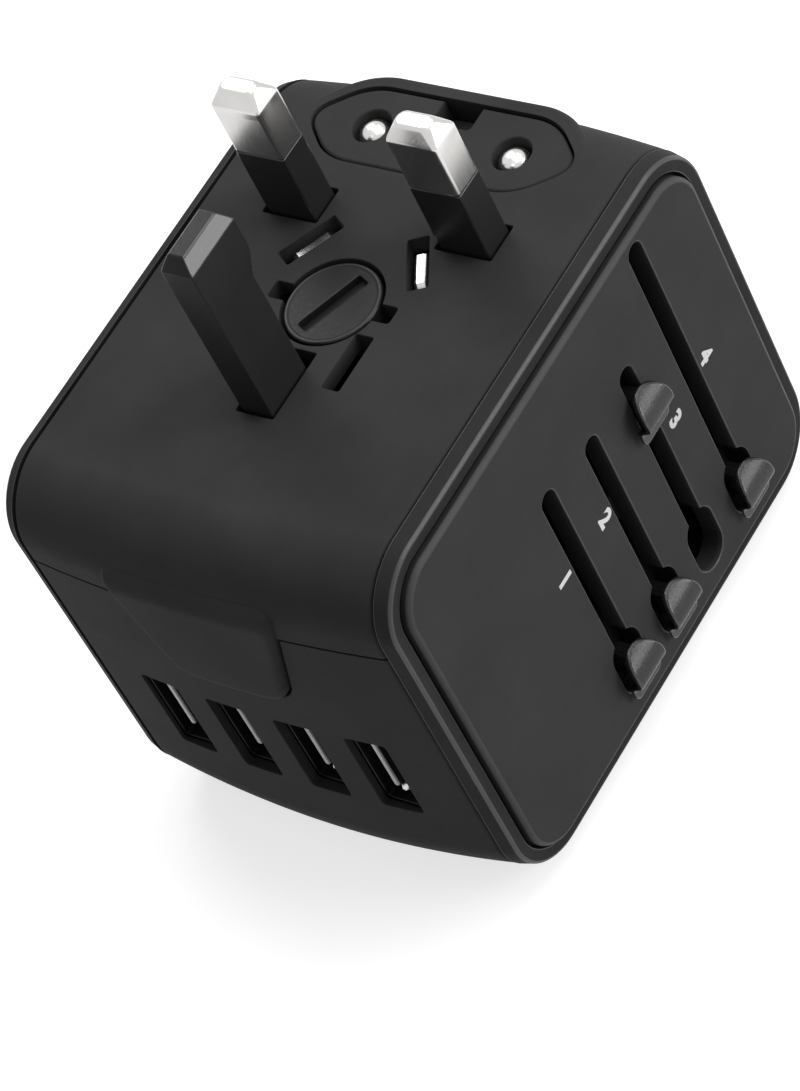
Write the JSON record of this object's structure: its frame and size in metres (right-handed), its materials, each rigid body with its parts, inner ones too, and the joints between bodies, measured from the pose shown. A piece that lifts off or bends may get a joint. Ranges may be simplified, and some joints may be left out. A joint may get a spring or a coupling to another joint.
{
  "type": "universal travel adapter",
  "caption": "Rounded block adapter whose side sliders push different plug pins out of one face, with USB ports, a fuse cap and a shuttered multi-standard socket.",
  "frame": {"origin": "middle of the socket plate's outer face, which the adapter stands on", "axes": "+Z out of the plug face, +X out of the side with the sliders, -Y out of the USB side"},
  "size_m": [0.0536, 0.0671, 0.0748],
  "materials": {
    "black_plastic": "fine grain, matte",
    "dark_plastic": "satin",
    "grey_plastic": "satin",
    "white_plastic": "gloss",
    "nickel_plate": "polished plate",
    "brass": "stamped strip",
    "ceramic": "glazed",
    "board": "solder mask",
    "winding_tape": "polyester tape",
    "capacitor_can": "shrink sleeve"
  },
  "bodies": {
    "body": {"rear_cover": "black_plastic", "main_housing": "black_plastic", "slider_cover": "black_plastic", "blank_side_cover": "black_plastic", "socket_plate": "black_plastic", "contact_frame": "black_plastic", "contact_line": "brass", "contact_neutral": "brass", "fuse_tube": "ceramic", "fuse_ferrule_top": "nickel_plate", "fuse_ferrule_low": "nickel_plate", "fuse_contact": "brass", "fuse_holder": "black_plastic", "usb_shell_1": "nickel_plate", "usb_shell_2": "nickel_plate", "usb_shell_3": "nickel_plate", "usb_shell_4": "nickel_plate", "usb_tongue_1": "white_plastic", "usb_tongue_2": "white_plastic", "usb_tongue_3": "white_plastic", "usb_tongue_4": "white_plastic", "usb_board": "board", "transformer": "winding_tape", "capacitor": "capacitor_can"},
    "uk_plug": {"uk_carriage": "black_plastic", "uk_line_pin": "nickel_plate", "uk_neutral_pin": "nickel_plate", "uk_line_sleeve": "black_plastic", "uk_neutral_sleeve": "black_plastic", "uk_earth_pin": "black_plastic"},
    "uk_button": {"uk_knob": "dark_plastic"},
    "us_plug": {"us_carriage": "black_plastic", "us_blade_right": "nickel_plate", "us_blade_left": "nickel_plate"},
    "us_button": {"us_knob": "dark_plastic"},
    "aus_plug": {"aus_carriage": "black_plastic", "aus_blade_right": "nickel_plate", "aus_blade_left": "nickel_plate"},
    "aus_button": {"aus_knob": "dark_plastic"},
    "euro_pins": {"euro_carriage": "black_plastic", "euro_pin_right": "nickel_plate", "euro_pin_left": "nickel_plate"},
    "euro_button": {"euro_knob": "dark_plastic"},
    "euro_plug_block": {"euro_block": "dark_plastic"},
    "fuse_bayonet": {"fuse_cap": "dark_plastic"},
    "shutter": {"socket_shutter": "grey_plastic"}
  },
  "joints": [
    {"name": "uk_slide", "type": "slide", "parent": "body", "child": "uk_plug", "axis": [0, 0, 1], "range_m": [-0.0227, 0]},
    {"name": "us_slide", "type": "slide", "parent": "body", "child": "us_plug", "axis": [0, 0, 1], "range_m": [0, 0.0227]},
    {"name": "aus_slide", "type": "slide", "parent": "body", "child": "aus_plug", "axis": [0, 0, 1], "range_m": [0, 0.0214]},
    {"name": "euro_slide", "type": "slide", "parent": "body", "child": "euro_pins", "axis": [0, 0, 1], "range_m": [0, 0.035]},
    {"name": "euro_block_slide", "type": "slide", "parent": "body", "child": "euro_plug_block", "axis": [0, 0, 1], "range_m": [0, 0.016]},
    {"name": "uk_press", "type": "slide", "parent": "uk_plug", "child": "uk_button", "axis": [-1, 0, 0], "range_m": [0, 0.0005], "stiffness_N_per_m": 500},
    {"name": "us_press", "type": "slide", "parent": "us_plug", "child": "us_button", "axis": [-1, 0, 0], "range_m": [0, 0.0005], "stiffness_N_per_m": 500},
    {"name": "aus_press", "type": "slide", "parent": "aus_plug", "child": "aus_button", "axis": [-1, 0, 0], "range_m": [0, 0.0005], "stiffness_N_per_m": 500},
    {"name": "euro_press", "type": "slide", "parent": "euro_pins", "child": "euro_button", "axis": [-1, 0, 0], "range_m": [0, 0.0005], "stiffness_N_per_m": 500},
    {"name": "fuse_turn", "type": "hinge", "parent": "body", "child": "fuse_bayonet", "pos_m": [-0.00005, 0.00095, 0.0521], "axis": [0, 0, 1], "range_deg": [0, 90]},
    {"name": "shutter_slide", "type": "slide", "parent": "body", "child": "shutter", "axis": [0, 1, 0], "range_m": [0, 0.006], "stiffness_N_per_m": 60}
  ],
  "couplings": [
    {"joint": "euro_block_slide", "follows": "euro_slide", "ratio": 0.45714}
  ]
}
